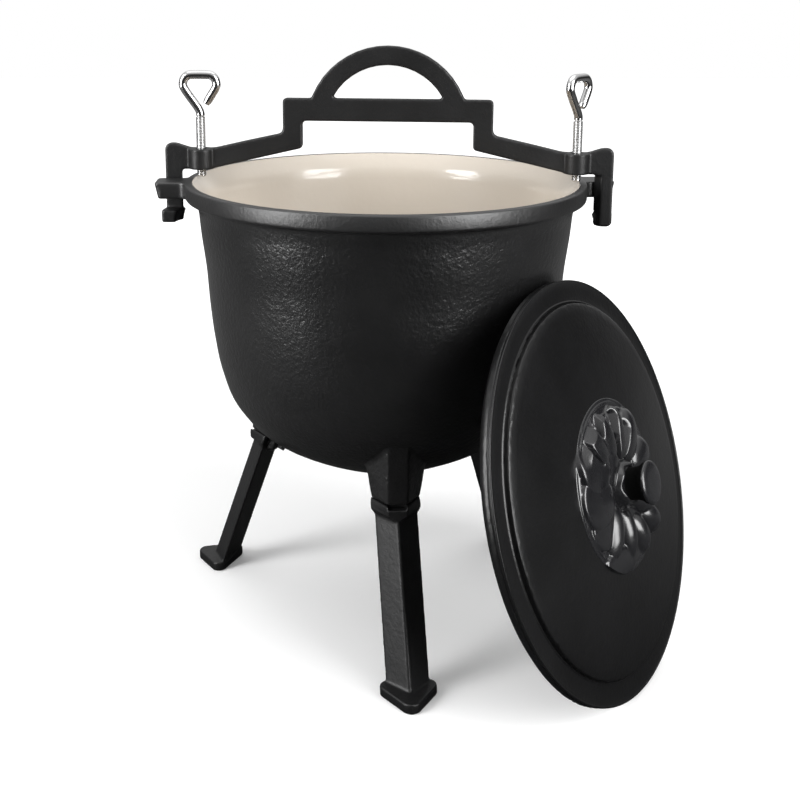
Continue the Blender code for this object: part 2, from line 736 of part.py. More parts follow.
def main():
    clear_scene()
    iron = make_material("black_cast", (0.016, 0.016, 0.017), 0.58, 0.0)
    lid_black = make_material("black_lid", (0.013, 0.013, 0.014), 0.38, 0.0)
    bolt_black = make_material("black_bolt", (0.025, 0.025, 0.026), 0.50, 0.4)
    steel = make_material("zinc_steel", (0.62, 0.62, 0.61), 0.30, 1.0)
    pot_body(iron)
    for side, azimuth in LEG_AZIMUTHS.items():
        leg(side, azimuth, iron)
        leg_bolt(side, azimuth, bolt_black)
    # The bar turns on the pot's upright axis, a millimetre off its own middle.
    axis = bpy.data.objects.new("bar_turn_axis", None)
    PARTS.objects.link(axis)
    axis.rotation_euler = (0.0, 0.0, math.radians(BAR_ANGLE))
    clamp_bar(iron, axis)
    eye_screw("left", steel, axis)
    eye_screw("right", steel, axis)
    lid(lid_black)


main()
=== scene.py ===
# %% [markdown]
# # An enamelled cast iron camp pot
# The pot stands on three bolted legs. A clamp bar with a handle lies across its mouth, and its lid leans
# on its side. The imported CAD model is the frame: it says where each piece is and what it moves with.
# This lesson gives each piece the surface of the real one: sand-cast iron, glossy enamel and zinc.

import math

import bmesh
import bpy
import numpy as np
from mathutils import Matrix, Vector


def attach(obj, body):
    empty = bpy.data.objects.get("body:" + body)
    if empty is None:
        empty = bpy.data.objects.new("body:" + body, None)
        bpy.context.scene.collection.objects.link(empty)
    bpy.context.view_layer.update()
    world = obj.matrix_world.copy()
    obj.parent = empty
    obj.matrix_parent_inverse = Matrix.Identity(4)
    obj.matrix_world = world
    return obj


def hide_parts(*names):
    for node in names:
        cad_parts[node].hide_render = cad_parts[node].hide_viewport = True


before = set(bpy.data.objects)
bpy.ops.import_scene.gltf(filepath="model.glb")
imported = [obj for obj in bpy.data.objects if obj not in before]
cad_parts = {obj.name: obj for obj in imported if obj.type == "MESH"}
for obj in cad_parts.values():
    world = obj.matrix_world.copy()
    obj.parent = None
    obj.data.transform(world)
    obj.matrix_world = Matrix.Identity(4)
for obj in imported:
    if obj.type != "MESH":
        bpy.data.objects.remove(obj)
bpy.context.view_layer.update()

# %% [markdown]
# ## The camera
# The lens and the tilt were worked out from the ellipses of the rim and of the lid in the photograph. The
# shift keeps upright edges as they are there. Depth of field stays off, so that all of the pot is sharp.

# %% Camera
CAMERA_SPOT = (-0.0590, -1.0004, 0.5320)
CAMERA_TURN = -3.0
CAMERA_TILT = 78.23
CAMERA_ROLL = 0.29


def turn(degrees, axis):
    return Matrix.Rotation(math.radians(degrees), 4, axis)


camera_data = bpy.data.cameras.new("camera")
camera_data.lens = 54.98
camera_data.sensor_width = 36.0
camera_data.shift_x = 0.028
camera_data.shift_y = -0.2018
camera = bpy.data.objects.new("camera", camera_data)
camera.matrix_world = (
    Matrix.Translation(CAMERA_SPOT) @ turn(CAMERA_TURN, "Z") @ turn(CAMERA_TILT, "X") @ turn(CAMERA_ROLL, "Z")
)
bpy.context.scene.collection.objects.link(camera)
bpy.context.scene.camera = camera
print("camera at", [round(v, 3) for v in camera.location])

# %% [markdown]
# ## Values that flow through nodes
# Nodes are wired by hand in Blender's editor. In a script it reads better as arithmetic, so one small class
# wraps a node's output: adding or multiplying two of them adds a Math node. One method makes every other
# node from its type, its settings and what goes into its sockets.

# %% Node helpers


class Value:
    """An output of a node. Arithmetic on it adds Math nodes to the same tree."""

    def __init__(self, tree, socket):
        self.tree = tree
        self.socket = socket

    def maths(self, operation, *values):
        found = self.tree.node("ShaderNodeMath", {"operation": operation}, dict(enumerate(values)))
        return found["Value"]

    def __add__(self, other):
        return self.maths("ADD", self, other)

    def __sub__(self, other):
        return self.maths("SUBTRACT", self, other)

    def __rsub__(self, other):
        return self.maths("SUBTRACT", other, self)

    def __mul__(self, other):
        return self.maths("MULTIPLY", self, other)

    def __truediv__(self, other):
        return self.maths("DIVIDE", self, other)

    def __abs__(self):
        return self.maths("ABSOLUTE", self)

    __radd__ = __add__
    __rmul__ = __mul__


class Made:
    """A node that was added, whose outputs are read by name or number as values."""

    def __init__(self, tree, node):
        self.tree = tree
        self.node = node

    def __getitem__(self, key):
        return Value(self.tree, self.node.outputs[key])


class Tree:
    """A node tree, of a material or of Geometry Nodes, and the one way in which nodes are added to it."""

    def __init__(self, node_tree):
        self.nodes = node_tree.nodes
        self.links = node_tree.links

    def node(self, kind, settings=None, sockets=None):
        made = self.nodes.new(kind)
        for name, value in (settings or {}).items():
            if name == "stops":
                self.set_stops(made.color_ramp, value)
            else:
                setattr(made, name, value)
        for key, value in (sockets or {}).items():
            self.feed(made.inputs[key], value)
        return Made(self, made)

    def feed(self, socket, value):
        if isinstance(value, Value):
            self.links.new(value.socket, socket)
        elif isinstance(value, (tuple, list)) and len(value) == 3 and socket.type == "RGBA":
            socket.default_value = (*value, 1.0)
        else:
            socket.default_value = value

    def rising(self, value, low, high):
        """0 up to low, 1 from high on, and a straight slope between them."""
        sockets = {"Value": value, "From Min": low, "From Max": high}
        return self.node("ShaderNodeMapRange", {}, sockets)["Result"]

    @staticmethod
    def set_stops(ramp, stops):
        while len(ramp.elements) < len(stops):
            ramp.elements.new(0.5)
        for element, (spot, grey) in zip(ramp.elements, stops):
            element.position = spot
            element.color = (grey, grey, grey, 1.0)


class Finish(Tree):
    """A material with a Principled shader, whose plain numbers are set on the shader's own sockets."""

    def __init__(self, name, colour, **numbers):
        self.material = bpy.data.materials.new(name)
        self.material.use_nodes = True
        super().__init__(self.material.node_tree)
        self.shader = self.nodes["Principled BSDF"]
        self.shader.inputs["Base Color"].default_value = (*colour, 1.0)
        for words, number in numbers.items():
            self.shader.inputs[self.label(words)].default_value = number
        self.place = self.node("ShaderNodeTexCoord")["Object"]

    @staticmethod
    def label(words):
        """The socket's own label: specular_ior_level becomes Specular IOR Level."""
        return words.replace("_", " ").title().replace("Ior", "IOR")

    def stretched(self, scale):
        return self.node("ShaderNodeMapping", {}, {"Vector": self.place, "Scale": scale})["Vector"]

    def noise(self, scale, detail=3.0, roughness=0.5, where=None):
        sockets = {"Vector": where or self.place, "Scale": scale, "Detail": detail, "Roughness": roughness}
        return self.node("ShaderNodeTexNoise", {}, sockets)["Fac"]

    def ramp(self, value, stops):
        return self.node("ShaderNodeValToRGB", {"stops": stops}, {"Fac": value})["Color"]

    def mixed(self, factor, first, second):
        sockets = {0: factor, 6: first, 7: second}
        return self.node("ShaderNodeMix", {"data_type": "RGBA"}, sockets)[2]

    def into(self, **values):
        for words, value in values.items():
            self.feed(self.shader.inputs[self.label(words)], value)

    def bumps(self, height):
        """Bumps of a height in millimetres."""
        sockets = {"Height": height, "Distance": 0.001, "Strength": 1.0}
        self.feed(self.shader.inputs["Normal"], self.node("ShaderNodeBump", {}, sockets)["Normal"])


print("node helpers:", ", ".join(kind.__name__ for kind in (Value, Made, Tree, Finish)))

# %% [markdown]
# ## Cast iron
# Sand casting leaves a skin of shallow pebbles, a few millimetres wide, over slower waves where the mould
# gave way. The pot is painted black over it, half matt. Two noises make the pebbles and one the waves, and
# a fourth changes the gloss, so that a highlight breaks up as it does on the real pot. The rim is ground
# after casting, so a band near its height has softer pebbles and a more matt skin.

# %% Black cast iron
RIM_BAND = (0.352, 0.359)


def cast_iron(name, colour, worn, roughness, pebble, wave, specular, ground=0.0):
    """Painted iron. Pebble and wave are heights in millimetres; ground is 1 where the piece has the rim."""
    finish = Finish(name, colour, roughness=roughness, specular_ior_level=specular)
    patches = finish.noise(scale=14.0, detail=4.0, roughness=0.6)
    fine = finish.noise(scale=560.0, detail=2.0, roughness=0.6)
    medium = finish.noise(scale=290.0, detail=2.0, roughness=0.55)
    slow = finish.noise(scale=26.0, detail=2.0, where=finish.stretched((1.0, 1.0, 1.6)))
    height = finish.node("ShaderNodeSeparateXYZ", {}, {0: finish.place})["Z"]
    rim = ground * finish.rising(height, *RIM_BAND)
    finish.into(
        base_color=finish.mixed(finish.ramp(patches, ((0.35, 0.0), (0.7, 1.0))), colour, worn),
        roughness=roughness - 0.06 + 0.10 * patches + 0.04 * fine + 0.12 * rim,
    )
    finish.bumps((pebble * (0.35 * fine + medium) + wave * slow) * (1.0 - 0.45 * rim))
    return finish.material


pot_black = cast_iron(
    "pot_black",
    colour=(0.0038, 0.0038, 0.0040),
    worn=(0.0058, 0.0058, 0.0060),
    roughness=0.29,
    pebble=0.46,
    wave=0.45,
    specular=0.75,
    ground=1.0,
)
bar_black = cast_iron(
    "bar_black",
    colour=(0.004, 0.004, 0.0042),
    worn=(0.0065, 0.0065, 0.0068),
    roughness=0.42,
    pebble=0.18,
    wave=0.4,
    specular=0.40,
)
lid_black = cast_iron(
    "lid_black",
    colour=(0.0030, 0.0030, 0.0032),
    worn=(0.0046, 0.0046, 0.0049),
    roughness=0.32,
    pebble=0.16,
    wave=0.4,
    specular=0.40,
)
bolt_black = cast_iron(
    "bolt_black",
    colour=(0.020, 0.020, 0.021),
    worn=(0.032, 0.031, 0.030),
    roughness=0.42,
    pebble=0.10,
    wave=0.2,
    specular=0.45,
)
print("black finishes:", pot_black.name, bar_black.name, lid_black.name, bolt_black.name)

# %% [markdown]
# ## Enamel, gloss and zinc
# The inside is cream enamel, a glass fired onto the iron: a clear coat over a soft orange-peel wave. The
# rosette and the knob of the lid are smoother and glossier than the rest. The screws are zinc plated
# steel, drawn along their length, so their faint streaks follow the rod.

# %% The other finishes


def enamel():
    finish = Finish("cream_glaze", (0.59, 0.535, 0.465), coat_weight=0.5, coat_roughness=0.08)
    clouds = finish.noise(scale=9.0, detail=3.0, roughness=0.55)
    peel = finish.noise(scale=210.0, detail=1.0, roughness=0.4)
    waves = finish.noise(scale=24.0, detail=2.0)
    finish.into(
        base_color=finish.mixed(clouds, (0.61, 0.555, 0.485), (0.565, 0.51, 0.44)),
        roughness=0.17 + 0.12 * finish.noise(scale=60.0, detail=2.0),
    )
    finish.bumps(0.10 * peel + 0.5 * waves)
    return finish.material


def gloss_black():
    finish = Finish("rosette_black", (0.006, 0.006, 0.0065), specular_ior_level=0.75)
    ripples = finish.noise(scale=60.0, detail=2.0)
    grain = finish.noise(scale=300.0, detail=2.0)
    finish.into(
        base_color=finish.mixed(finish.noise(scale=40.0), (0.005, 0.005, 0.006), (0.010, 0.010, 0.011)),
        roughness=0.14 + 0.22 * finish.noise(scale=28.0, detail=2.0),
    )
    finish.bumps(0.45 * ripples + 0.05 * grain)
    return finish.material


def zinc(name, roughness):
    finish = Finish(name, (0.62, 0.62, 0.60), metallic=1.0)
    streaks = finish.noise(scale=260.0, detail=3.0, roughness=0.6, where=finish.stretched((1.0, 1.0, 0.12)))
    spots = finish.noise(scale=130.0, detail=4.0, roughness=0.6)
    finish.into(
        base_color=finish.mixed(spots, (0.66, 0.66, 0.66), (0.58, 0.58, 0.58)),
        roughness=roughness - 0.03 + 0.04 * streaks + 0.05 * spots,
    )
    finish.bumps(0.008 * streaks + 0.008 * spots)
    return finish.material


cream_glaze = enamel()
rosette_black = gloss_black()
zinc_bright = zinc("zinc_bright", 0.14)
# painted shade: a dead black, matt finish for the shaded hollow of the knob's neck
painted_shade_black = Finish("painted_shade_black", (0.002, 0.002, 0.002), roughness=0.85, specular_ior_level=0.08).material
print("other finishes:", cream_glaze.name, rosette_black.name, zinc_bright.name, painted_shade_black.name)

# %% [markdown]
# ## Making a piece
# Every finished piece is a closed mesh whose place is in the mesh, because the object itself stays at the
# origin. It rides on the body that it moves with.

# %% Piece helpers
WELD_DISTANCE = 0.00001
ON_AXIS = 1e-7


def mesh_object(name, points, faces):
    mesh = bpy.data.meshes.new(name)
    mesh.from_pydata([tuple(point) for point in points], [], [tuple(face) for face in faces])
    obj = bpy.data.objects.new(name, mesh)
    bpy.context.scene.collection.objects.link(obj)
    return obj


def welded(obj, outward=True):
    """The object with its doubled points joined and its normals outward."""
    shape = bmesh.new()
    shape.from_mesh(obj.data)
    bmesh.ops.remove_doubles(shape, verts=shape.verts, dist=WELD_DISTANCE)
    if outward:
        bmesh.ops.recalc_face_normals(shape, faces=shape.faces)
    shape.to_mesh(obj.data)
    shape.free()
    return obj


def plain(obj):
    """The object with its modifiers turned into its own plain mesh."""
    bpy.context.view_layer.update()
    graph = bpy.context.evaluated_depsgraph_get()
    mesh = bpy.data.meshes.new_from_object(obj.evaluated_get(graph))
    made = bpy.data.objects.new(obj.name, mesh)
    bpy.context.scene.collection.objects.link(made)
    name = obj.name
    mesh.transform(obj.matrix_world)
    bpy.data.objects.remove(obj, do_unlink=True)
    made.name = name
    return made


def finished(obj, body, slot, material, sharp, stands_for=()):
    """A finished piece on its body. Edges sharper than the angle in degrees stay crisp."""
    obj.data.materials.clear()
    obj.data.materials.append(material)
    obj.data.shade_smooth()
    obj.data.set_sharp_from_angle(angle=math.radians(sharp))
    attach(obj, body)
    if stands_for:
        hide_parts(*stands_for)
    print(obj.name, "faces", len(obj.data.polygons), "on", body)
    return obj


def turned(name, profile, steps):
    """A closed turned mesh from (radius, height) points that start and end on the axis."""
    angles = np.arange(steps) * math.tau / steps
    rows = []
    points = []
    for radius, height in profile:
        if radius < ON_AXIS:
            rows.append([len(points)] * steps)
            points.append((0.0, 0.0, height))
            continue
        rows.append(list(range(len(points), len(points) + steps)))
        points.extend((radius * math.cos(a), radius * math.sin(a), height) for a in angles)
    faces = []
    for upper, lower in zip(rows, rows[1:]):
        for i in range(steps):
            j = (i + 1) % steps
            face = [upper[i], lower[i], lower[j], upper[j]]
            faces.append(list(dict.fromkeys(face)))
    return mesh_object(name, points, faces)


def smooth_path(knots, count):
    """A soft curve through the knots, with the same count of points in each span."""
    ends = [2 * Vector(knots[0]) - Vector(knots[1])] + [Vector(knot) for knot in knots]
    ends.append(2 * Vector(knots[-1]) - Vector(knots[-2]))
    path = [tuple(ends[1])]
    for a, b, c, d in zip(ends, ends[1:], ends[2:], ends[3:]):
        for step in range(1, count + 1):
            t = step / count
            point = 2 * b + (c - a) * t + (2 * a - 5 * b + 4 * c - d) * t**2
            path.append(tuple((point + (3 * b - a - 3 * c + d) * t**3) / 2))
    return path


print("piece helpers:", ", ".join(tool.__name__ for tool in (welded, plain, finished, turned, smooth_path)))

# %% [markdown]
# ## Castings
# Cast iron has no knife edges: the sand rounds every corner and fills every inside corner. So a casting
# starts as a copy of its CAD solid. A voxel remesh gives it small even faces, and smoothing then moves each
# point. Outward moves, in the inside corners, are kept whole; inward ones, on the edges, only in part.

# %% Castings from the CAD solids
CASTING_VOXEL = 0.0009
CASTING_ROUNDS = 5
CASTING_EDGES = 0.45


def copy_of(node, name):
    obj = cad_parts[node]
    made = bpy.data.objects.new(name, obj.data.copy())
    bpy.context.scene.collection.objects.link(made)
    return welded(made, outward=False)


def coordinates(mesh):
    points = np.empty(len(mesh.vertices) * 3)
    mesh.vertices.foreach_get("co", points)
    return points.reshape(-1, 3)


def softened(obj, voxel, rounds, edge_share):
    """The object remeshed and smoothed, with edges worn in by only a share of what smoothing takes."""
    remesh = obj.modifiers.new("even", "REMESH")
    remesh.mode = "VOXEL"
    remesh.voxel_size = voxel
    obj = plain(obj)
    before = coordinates(obj.data)
    normals = np.empty(len(before) * 3)
    obj.data.vertices.foreach_get("normal", normals)
    normals = normals.reshape(-1, 3)
    smooth = obj.modifiers.new("smooth", "SMOOTH")
    smooth.factor = 0.5
    smooth.iterations = rounds
    obj = plain(obj)
    move = coordinates(obj.data) - before
    along = (move * normals).sum(1)
    along = np.where(along < 0.0, edge_share * along, along)
    obj.data.vertices.foreach_set("co", (before + along[:, None] * normals).ravel())
    polish = obj.modifiers.new("polish", "SMOOTH")
    polish.factor = 0.4
    polish.iterations = 2
    return plain(obj)


def casting(node, body):
    obj = softened(copy_of(node, node + "_casting"), CASTING_VOXEL, CASTING_ROUNDS, CASTING_EDGES)
    return finished(obj, body, "black_cast", bar_black, 80.0, (node,))


for side in ("front", "left", "right"):
    casting("leg_" + side, "pot")
casting("clamp_bar", "clamp_bar")

# %% [markdown]
# ## The lid
# The lid is a shallow dome with a steep edge inside a flat brim. It is a turned shape: its outline goes from
# the middle over the dome's edge, a small bead and the brim, round the rib that sits in the pot, and back
# under the dome. The sand left the edges a little ragged, so their points are moved in and out at random.

# %% Lid
LID_CENTRE = (0.1571, -0.1308, 0.1557)
LID_PLACE = Matrix.Translation(LID_CENTRE) @ turn(54.15, "Z") @ turn(90.0 - 16.84, "X")
LID_RADIUS = 0.1600
LID_EDGE = 0.0078
LID_THICKNESS = 0.0050
DOME_TOP = 0.0182
DOME_SPHERE = 0.7210
DOME_RADIUS = 0.1385
RAGGED_SEED = 7
RAGGED_SIZE = 0.00014
RAGGED_RADIUS = 0.15


def dome_height(radius):
    return DOME_TOP - radius**2 / (2 * DOME_SPHERE)


dome_path = [(radius, dome_height(radius)) for radius in np.linspace(0.0, DOME_RADIUS, 24)]
brim_path = [
    (0.1404, 0.00400),
    (0.1408, 0.00378),
    (0.1411, 0.00320),
    (0.1412, 0.00220),
    (0.1413, 0.00070),
    (0.1415, 0.00010),
    (0.1418, 0.0),
    (0.1421, 0.00025),
    (0.1424, 0.00070),
    (0.1427, 0.00085),
    (0.1430, 0.00070),
    (0.1434, 0.00025),
    (0.1440, 0.0),
    (0.1530, 0.0),
    (0.1576, 0.0),
    (0.1583, 0.0003),
    (0.1588, 0.0008),
    (0.1593, 0.0009),
    (0.1597, 0.0006),
    (0.1599, -0.0002),
    (0.1595, -0.0010),
    (0.1594, -0.0014),
    (0.1599, -0.0019),
    (LID_RADIUS, -0.0024),
    (LID_RADIUS, -0.0040),
    (LID_RADIUS - 0.0001, -0.0056),
    (LID_RADIUS - 0.0009, -0.0068),
    (LID_RADIUS - 0.0022, -LID_EDGE),
    (0.1565, -LID_EDGE),
    (0.1558, -LID_EDGE - 0.0022),
    (0.1550, -LID_EDGE - 0.0025),
    (0.1500, -LID_EDGE - 0.0025),
    (0.1488, -LID_EDGE - 0.0021),
    (0.1478, -LID_EDGE),
]
under_depth = 1.3 * LID_THICKNESS
under_path = [(radius, dome_height(radius) - under_depth) for radius in np.linspace(0.133, 0.0, 12)]
lid_top = turned("lid_casting", dome_path + brim_path + under_path, 480)
points = coordinates(lid_top.data)
radii = np.hypot(points[:, 0], points[:, 1])
dome_edge = (radii > 0.1403) & (radii < 0.1420)
brim_side = (radii > 0.1596) & (points[:, 2] < -0.0015)
draws = np.random.default_rng(RAGGED_SEED).normal(0.0, RAGGED_SIZE, len(points))
grains = 1.0 + np.where(dome_edge | brim_side, draws, 0.0) / RAGGED_RADIUS
points[:, :2] *= np.minimum(grains, LID_RADIUS / np.maximum(radii, 0.001))[:, None]
lid_top.data.vertices.foreach_set("co", points.ravel())
lid_top.data.transform(LID_PLACE)
finished(welded(lid_top), "lid", "black_lid", lid_black, 60.0, ("lid",))

# %% [markdown]
# ## The rosette, as heights
# The rosette is carved: broad leaves lap over each other on one side, and narrow fingers with deep furrows
# stand on the other. Each leaf is a rounded heap on an ellipse, and at each point the highest one wins, so
# that they meet in sharp valleys. Furrows are cut along short lines. All numbers are in millimetres and
# degrees, as they would be read off the real lid.

# %% Heights of the rosette
ROSETTE_RADIUS = 66.0
# middle x, middle y, half length, half width, direction, height, softness (1 is a heap, 0 a slab)
LEAVES = (
    (-37.0, 26.0, 20.0, 20.0, 0.0, 8.2, 0.16),
    (-42.0, 2.0, 21.5, 21.5, 0.0, 6.2, 0.16),
    (-41.0, -19.0, 17.0, 17.0, 0.0, 4.4, 0.18),
    (-27.0, -28.0, 22.0, 10.5, 240.0, 9.0, 0.75),
    (-8.0, -35.0, 22.0, 10.0, 263.0, 10.0, 0.75),
    (13.0, -43.0, 18.0, 11.0, 284.0, 10.5, 0.75),
    (36.0, -38.0, 18.0, 12.0, 312.0, 11.5, 0.75),
    (23.0, -13.0, 28.0, 16.0, 325.0, 13.0, 0.45),
    (-23.0, -51.0, 26.0, 11.0, 350.0, 4.6, 0.20),
    (-25.0, 37.0, 20.0, 11.0, 122.0, 8.4, 0.30),
    (-9.0, 39.0, 20.0, 11.0, 102.0, 9.2, 0.30),
    (9.0, 37.0, 22.0, 12.0, 78.0, 9.8, 0.30),
    (28.0, 30.0, 23.0, 15.0, 48.0, 10.0, 0.45),
    (42.0, 10.0, 18.0, 14.0, 14.0, 10.0, 0.50),
    (-14.0, 16.0, 16.0, 16.0, 0.0, 9.0, 0.40),
)
# start x, start y, end x, end y, half width at the start, half width at the end, depth
FURROWS = (
    (-41.0, 50.0, -37.0, 36.0, 4.0, 2.6, 5.5),
    (-37.0, 36.0, -30.0, 25.0, 2.6, 1.2, 5.0),
    (-15.0, 58.0, -19.0, 43.0, 4.2, 2.0, 8.0),
    (8.0, 53.0, 1.0, 37.0, 5.0, 4.0, 8.5),
    (1.0, 37.0, 0.0, 19.0, 4.0, 1.6, 8.0),
    (22.0, 39.0, 9.0, 17.0, 7.0, 2.0, 8.5),
)
LEAF_TIPS = 62.0
LEAF_TIPS_LEFT = 57.0
BODY_HEIGHT = 2.0
COLLAR_HEIGHT = 11.0
COLLAR_RADIUS = 21.5
RING_RADIUS = 62.5
RING_HEIGHT = 1.0
CORNER_ANGLE = 120.0


def softly(value):
    """0 below 0, 1 above 1 and a soft step between them."""
    value = np.clip(value, 0.0, 1.0)
    return value * value * (3.0 - 2.0 * value)


def leaf_height(x, y, leaf):
    middle_x, middle_y, length, width, direction, height, softness = leaf
    way = math.radians(direction)
    along = ((x - middle_x) * math.cos(way) + (y - middle_y) * math.sin(way)) / length
    across = ((y - middle_y) * math.cos(way) - (x - middle_x) * math.sin(way)) / width
    room = np.clip(1.0 - np.abs(along) ** 2.2 - np.abs(across) ** 2.0, 0.0, 1.0)
    return height * room**softness * (0.90 + 0.10 * along)


def furrow_depth(x, y, furrow):
    x0, y0, x1, y1, wide, narrow, depth = furrow
    run_x, run_y = x1 - x0, y1 - y0
    spot = np.clip(((x - x0) * run_x + (y - y0) * run_y) / (run_x**2 + run_y**2), 0.0, 1.0)
    away = np.hypot(x - x0 - spot * run_x, y - y0 - spot * run_y) / (wide + (narrow - wide) * spot)
    return depth * np.clip(1.0 - away, 0.0, 1.0) ** 1.5


def rosette_height(radius, angle):
    """Height over the dome at a radius and an angle."""
    x, y = radius * np.cos(angle), radius * np.sin(angle)
    left = softly((-np.cos(angle + math.radians(20.0)) + 0.25) / 0.5)
    reach = LEAF_TIPS + (LEAF_TIPS_LEFT - LEAF_TIPS) * left
    body = BODY_HEIGHT * softly((reach - radius) / 2.5)
    top = np.maximum.reduce([body] + [leaf_height(x, y, leaf) for leaf in LEAVES])
    for furrow in FURROWS:
        top = top - furrow_depth(x, y, furrow) * softly((top - 1.0) / 3.0)
    # lower towards the knob, where a lumpy collar stands
    top = top * (0.72 + 0.28 * softly((radius - 12.0) / 14.0))
    lumps = 0.90 + 0.10 * np.cos(5.0 * angle + 0.6) * softly((radius - 11.0) / 3.0)
    top = np.maximum(top, COLLAR_HEIGHT * lumps * softly((COLLAR_RADIUS - radius) / 7.0))
    # the tips in one corner slope down inside the ring
    corner = softly((np.cos(angle - math.radians(CORNER_ANGLE)) - 0.84) / 0.12)
    slope = 1.0 + np.clip(60.5 - radius, 0.0, 60.0)
    top = top + (np.minimum(top, slope) - top) * corner
    # a thin plate with a raised ring on the left
    ring = 0.5 * softly((ROSETTE_RADIUS - radius) / 1.5)
    ring = ring + RING_HEIGHT * np.exp(-(((radius - RING_RADIUS) / 0.8) ** 2)) * left
    return np.maximum(top, ring * softly((radius - 40.0) / 10.0) + 0.2)


tallest = max(leaf[5] for leaf in LEAVES)
print("leaves:", len(LEAVES), "furrows:", len(FURROWS), "tallest leaf:", tallest, "mm")

# %% [markdown]
# ## The rosette, as a mesh
# The heights are read on a round grid and laid over the dome. A light blur rounds what is knife-sharp, as
# the sand and the paint do. The last row dips under the dome's skin, and a flat underside closes the mesh.

# %% Rosette of the lid
MILLIMETRE = 0.001
ROSETTE_STEPS = 620
ROSETTE_ROWS = 150
ROSETTE_INNER = 6.0
SUNK_EDGE = 0.0003
SUNK_BASE = 0.0015


def blurred(grid):
    """Each value mixed with its neighbours; the columns go round, the rows end."""
    grid = 0.5 * grid + 0.25 * (np.roll(grid, 1, 1) + np.roll(grid, -1, 1))
    ends = np.vstack([grid[:1], grid, grid[-1:]])
    return 0.5 * grid + 0.25 * (ends[:-2] + ends[2:])


def rosette_carving(steps, inner, rows):
    angles = np.arange(steps) * math.tau / steps
    radii = np.linspace(inner, ROSETTE_RADIUS, rows)
    radius, angle = np.meshgrid(radii, angles, indexing="ij")
    over = blurred(rosette_height(radius, angle)) * MILLIMETRE
    over[-1] = -SUNK_EDGE
    flat = radius * MILLIMETRE
    edge = flat[-1]
    tops = np.stack([flat * np.cos(angle), flat * np.sin(angle), dome_height(flat) + over], 2)
    below = np.stack([edge * np.cos(angles), edge * np.sin(angles), dome_height(edge) - SUNK_BASE], 1)
    points = [(0.0, 0.0, DOME_TOP + MILLIMETRE)] + list(tops.reshape(-1, 3)) + list(below)
    points.append((0.0, 0.0, DOME_TOP - SUNK_BASE))
    faces = []
    last = 1 + rows * steps
    for i in range(steps):
        j = (i + 1) % steps
        faces.append((0, 1 + i, 1 + j))
        faces.append((last + j, last + i, len(points) - 1))
        for row in range(rows):
            a = 1 + row * steps
            faces.append((a + i, a + steps + i, a + steps + j, a + j))
    return mesh_object("lid_rosette", points, faces)


rosette = rosette_carving(ROSETTE_STEPS, ROSETTE_INNER, ROSETTE_ROWS)
rosette.data.transform(LID_PLACE)
finished(welded(rosette), "lid", "black_lid", rosette_black, 60.0)

# %% [markdown]
# ## The knob
# The knob is shaped like a cotton reel. Its cap is as glossy as the rosette. The hollow of its neck lies in
# shade, so it is a piece of its own with a dead black finish: painted shade.

# %% Knob of the lid
cap_path = [
    (0.0162, 0.0424),
    (0.0165, 0.0431),
    (0.0160, 0.0443),
    (0.0136, 0.0455),
    (0.0090, 0.0461),
    (0.0, 0.0463),
]
neck_path = [
    (0.0162, 0.0425),
    (0.0154, 0.0400),
    (0.0139, 0.0379),
    (0.0129, 0.0355),
    (0.0123, 0.0325),
    (0.0122, 0.0295),
    (0.0126, 0.0265),
    (0.0136, 0.0235),
    (0.0150, 0.0212),
]
neck_foot = [(0.0150, 0.0170), (0.0, 0.0170)]
cap = turned("lid_knob_cap", [(0.0, 0.0422)] + smooth_path(cap_path, 4), 96)
neck = turned("lid_knob_neck", [(0.0, 0.0425)] + smooth_path(neck_path, 4) + neck_foot, 96)
# the neck takes the painted shade finish, the cap the glossy one
for piece, material in ((cap, rosette_black), (neck, painted_shade_black)):
    piece.data.transform(LID_PLACE)
    finished(welded(piece), "lid", "black_lid", material, 60.0)

# %% [markdown]
# ## The pot
# The pot is a turned shape, so one outline makes it: over the rim, down the wall, across the bottom and up
# again inside. The enamel is a thin shell of its own inside the iron. It ends in a soft lip on the rim's
# inner edge, where the black stops.

# %% Outlines of the pot
RIM_TOP = 0.3737
RIM_RADIUS = 0.165
WALL_RADII = (0.1550, 0.1525, 0.1488, 0.1466, 0.1433, 0.1377, 0.1260, 0.0972, 0.0342)
WALL_TOP = 0.3617
WALL_BOTTOM = 0.1285
BOTTOM_LOW = 0.1270
WALL = 0.0050
GLAZE = 0.0007
SHOULDER = 0.0165
drop = (WALL_TOP - WALL_BOTTOM) / (len(WALL_RADII) - 1)
wall_knots = [(radius, WALL_TOP - drop * i) for i, radius in enumerate(WALL_RADII)]
wall_knots += [(0.0, BOTTOM_LOW), (-0.0342, WALL_BOTTOM)]
wall_path = smooth_path(wall_knots, 8)[: 9 * 8 + 1]


def inset(depth):
    """The wall's outline moved inwards, square to itself, from under the rim to the axis."""
    moved = []
    for i in range(1, len(wall_path) - 1):
        run = Vector(wall_path[i + 1]) - Vector(wall_path[i - 1])
        point = Vector(wall_path[i]) + Vector((run.y, -run.x)).normalized() * depth
        if point.x > 0.003 and point.y < RIM_TOP - SHOULDER:
            moved.append(tuple(point))
    return moved + [(0.0, BOTTOM_LOW + depth)]


def flare(shift):
    """The mouth's inner side, from the rim's edge down to the wall."""
    knots = (
        (0.1583, 0.0012),
        (0.1577, 0.0020),
        (0.1558, 0.0050),
        (0.1536, 0.0085),
        (0.1517, 0.0120),
        (0.1506, 0.0145),
    )
    return [(radius + shift, RIM_TOP - below) for radius, below in knots]


